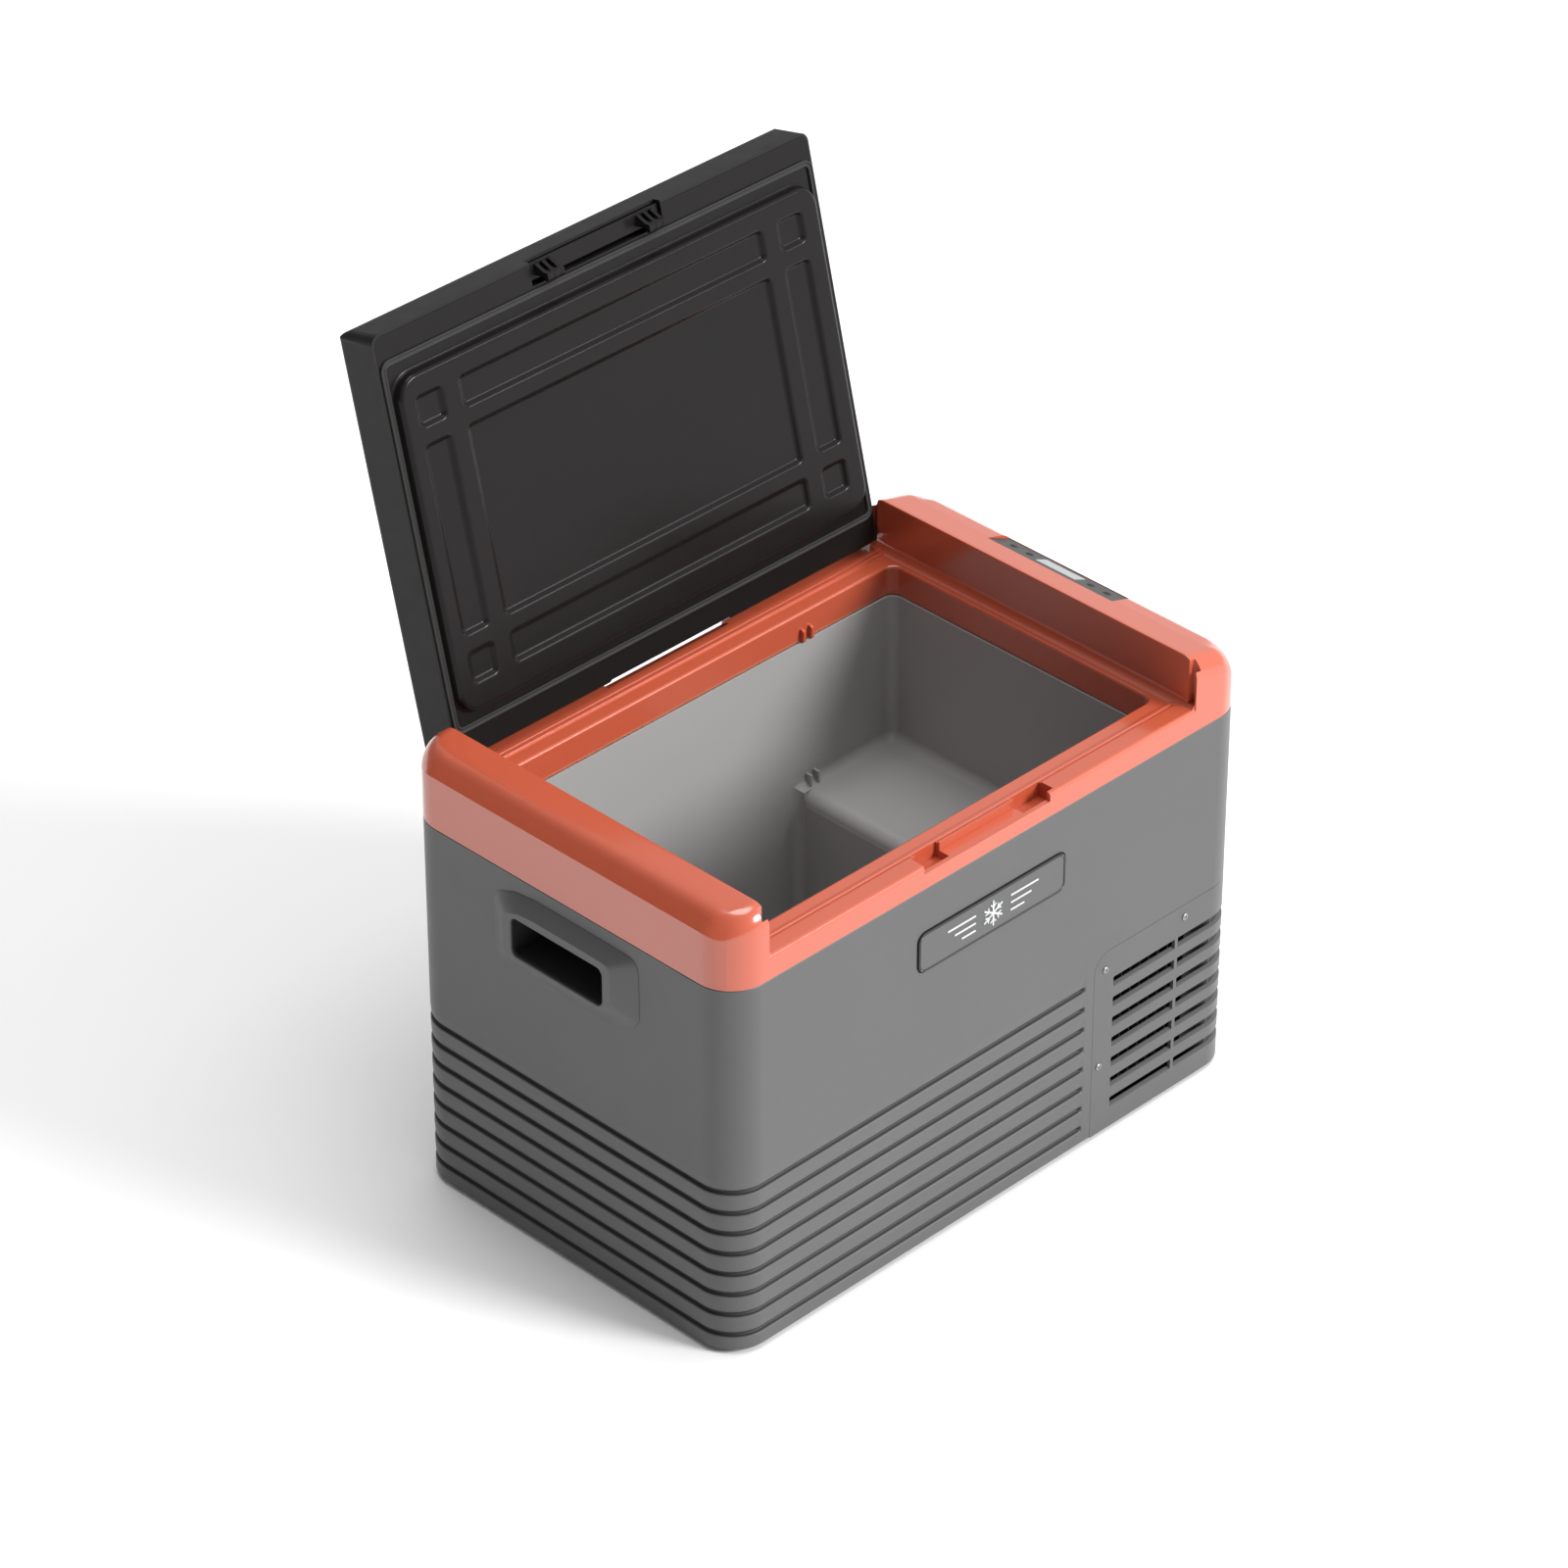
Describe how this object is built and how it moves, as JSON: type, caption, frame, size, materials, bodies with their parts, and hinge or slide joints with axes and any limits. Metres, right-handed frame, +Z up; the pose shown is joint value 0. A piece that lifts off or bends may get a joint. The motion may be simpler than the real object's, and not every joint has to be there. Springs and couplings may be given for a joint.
{
  "type": "compressor cooler fridge",
  "caption": "Portable compressor cooler with a deep two-level tub, grooved case, side carry handles, vent grille, control panel and an insulated lid that swings up to the rear.",
  "frame": {"origin": "middle of the case footprint, on the underside of the base pan (the rubber feet reach 4 mm below)", "axes": "+X right to the control panel and vent end, -Y to the front with the badge, +Z up"},
  "size_m": [0.612, 0.4758, 0.7356],
  "materials": {
    "case_plastic": "fine grained moulded plastic, dark grey",
    "rim_plastic": "glossy coral red moulded plastic",
    "lid_plastic": "black satin moulded plastic",
    "tub_plastic": "smooth mid grey food safe plastic",
    "dark_plastic": "dark moulded plastic",
    "soft_rubber": "soft black rubber",
    "steel": "plated steel",
    "aluminium": "bare aluminium",
    "copper": "bare copper tube",
    "black_metal": "black painted pressed steel",
    "foam": "rigid foamed insulation, pale yellow",
    "display": "smoked display window",
    "circuit_board": "green circuit board"
  },
  "bodies": {
    "case": {"outer_case": "case_plastic", "vent_grille": "case_plastic", "vent_screw_1": "steel", "vent_screw_2": "steel", "vent_screw_3": "steel", "vent_screw_4": "steel", "vent_screw_5": "steel", "base_pan": "dark_plastic", "foot_1": "soft_rubber", "foot_2": "soft_rubber", "foot_3": "soft_rubber", "foot_4": "soft_rubber", "inner_tub": "tub_plastic", "evaporator_plate": "aluminium", "insulation_foam": "foam", "top_rim": "rim_plastic", "right_handle": "case_plastic", "left_handle": "case_plastic", "badge_plate": "case_plastic", "control_panel": "dark_plastic", "display_lens": "display", "control_pcb": "circuit_board", "dc_inlet": "dark_plastic", "compressor": "black_metal", "compressor_mount_1": "soft_rubber", "compressor_mount_2": "soft_rubber", "compressor_mount_3": "soft_rubber", "compressor_mount_4": "soft_rubber", "condenser_coil": "aluminium", "fan_shroud": "dark_plastic", "controller_box": "aluminium", "controller_bracket": "steel", "filter_drier": "copper", "discharge_pipe": "copper"},
    "lid": {"lid_shell": "lid_plastic", "lid_liner": "lid_plastic", "lid_gasket": "soft_rubber", "lid_foam": "foam", "hinge_pin_right": "steel", "hinge_pin_left": "steel"},
    "fan": {"fan_rotor": "dark_plastic"},
    "front_latch": {"front_latch": "lid_plastic"},
    "button_1": {"button_1": "soft_rubber"},
    "button_2": {"button_2": "soft_rubber"},
    "button_3": {"button_3": "soft_rubber"},
    "button_4": {"button_4": "soft_rubber"}
  },
  "joints": [
    {"name": "lid_hinge", "type": "hinge", "parent": "case", "child": "lid", "pos_m": [-0.0128, 0.1775, 0.3795], "axis": [1, 0, 0], "range_deg": [0, 103.5]},
    {"name": "front_latch_pivot", "type": "hinge", "parent": "lid", "child": "front_latch", "pos_m": [-0.0125, 0.26821, 0.71664], "axis": [-1, 0, 0], "range_deg": [0, 10], "stiffness_Nm_per_rad": 0.3, "springref_deg": -5.73},
    {"name": "fan_spin", "type": "hinge", "parent": "case", "child": "fan", "pos_m": [0.207, -0.1265, 0.084], "axis": [0, 1, 0], "continuous": true},
    {"name": "button_1_press", "type": "slide", "parent": "case", "child": "button_1", "axis": [-0.4131, 0, -0.9107], "range_m": [0, 0.0008], "stiffness_N_per_m": 600, "springref_m": -0.0005},
    {"name": "button_2_press", "type": "slide", "parent": "case", "child": "button_2", "axis": [-0.4131, 0, -0.9107], "range_m": [0, 0.0008], "stiffness_N_per_m": 600, "springref_m": -0.0005},
    {"name": "button_3_press", "type": "slide", "parent": "case", "child": "button_3", "axis": [-0.4131, 0, -0.9107], "range_m": [0, 0.0008], "stiffness_N_per_m": 600, "springref_m": -0.0005},
    {"name": "button_4_press", "type": "slide", "parent": "case", "child": "button_4", "axis": [-0.4131, 0, -0.9107], "range_m": [0, 0.0008], "stiffness_N_per_m": 600, "springref_m": -0.0005}
  ]
}
